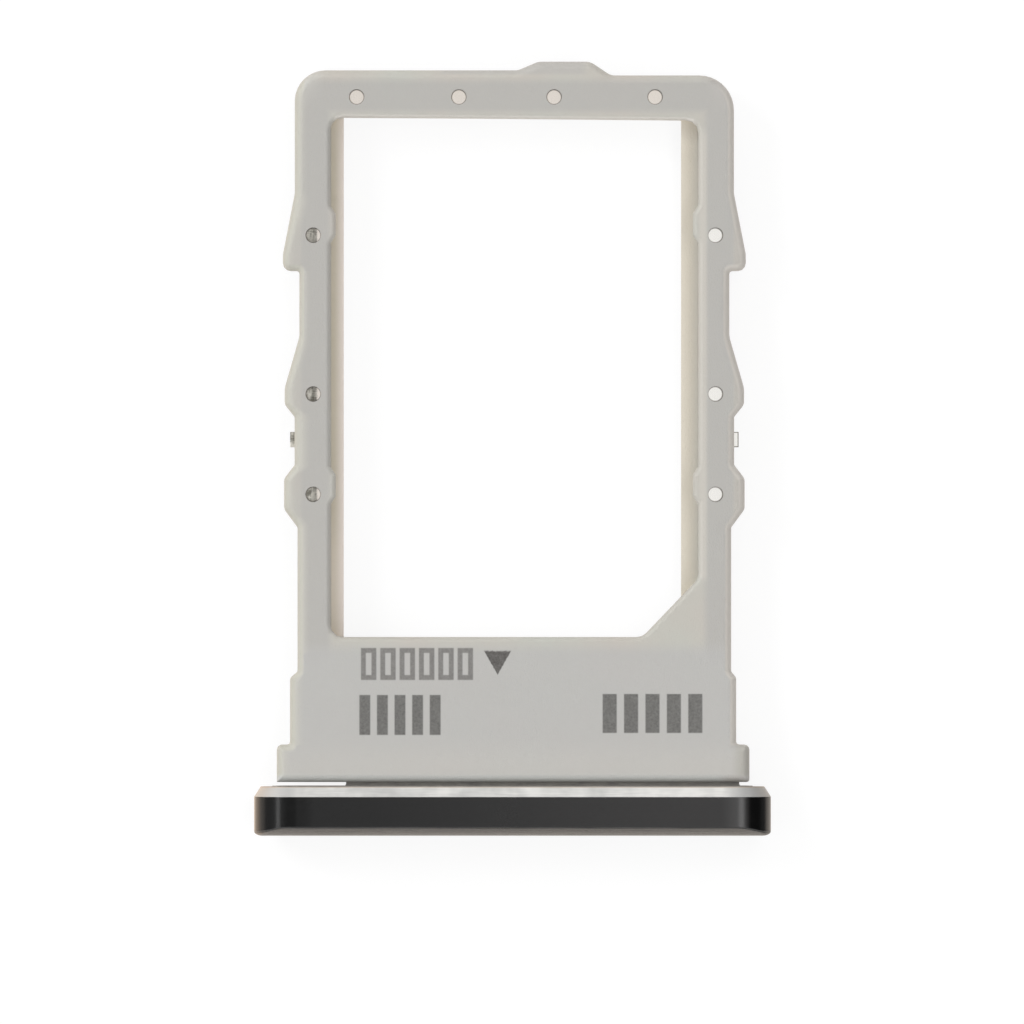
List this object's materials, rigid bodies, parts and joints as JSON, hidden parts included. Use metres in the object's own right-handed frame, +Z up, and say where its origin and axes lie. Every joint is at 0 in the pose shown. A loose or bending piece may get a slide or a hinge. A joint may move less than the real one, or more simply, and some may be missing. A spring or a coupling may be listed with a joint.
{
  "type": "sim card tray",
  "caption": "Phone card tray: a moulded plastic frame with a windowed pocket for a nano card, a buried steel stiffener and a full-round anodised head.",
  "frame": {"origin": "middle of the tray's overall length and of the head's width, on the plane of the head's lowest line", "axes": "+X across the tray, +Y from the head to the far end, +Z up out of the card's pocket"},
  "size_m": [0.0124, 0.0188, 0.0018],
  "materials": {
    "frame_plastic": "satin off-white mineral-filled moulded plastic",
    "stiffener_steel": "bare stamped stainless strip",
    "head_metal": "black anodised, brushed on the front face, bare on the rear chamfer"
  },
  "bodies": {
    "root": {"tray_frame": "frame_plastic", "steel_insert": "stiffener_steel", "head": "head_metal"}
  },
  "joints": []
}
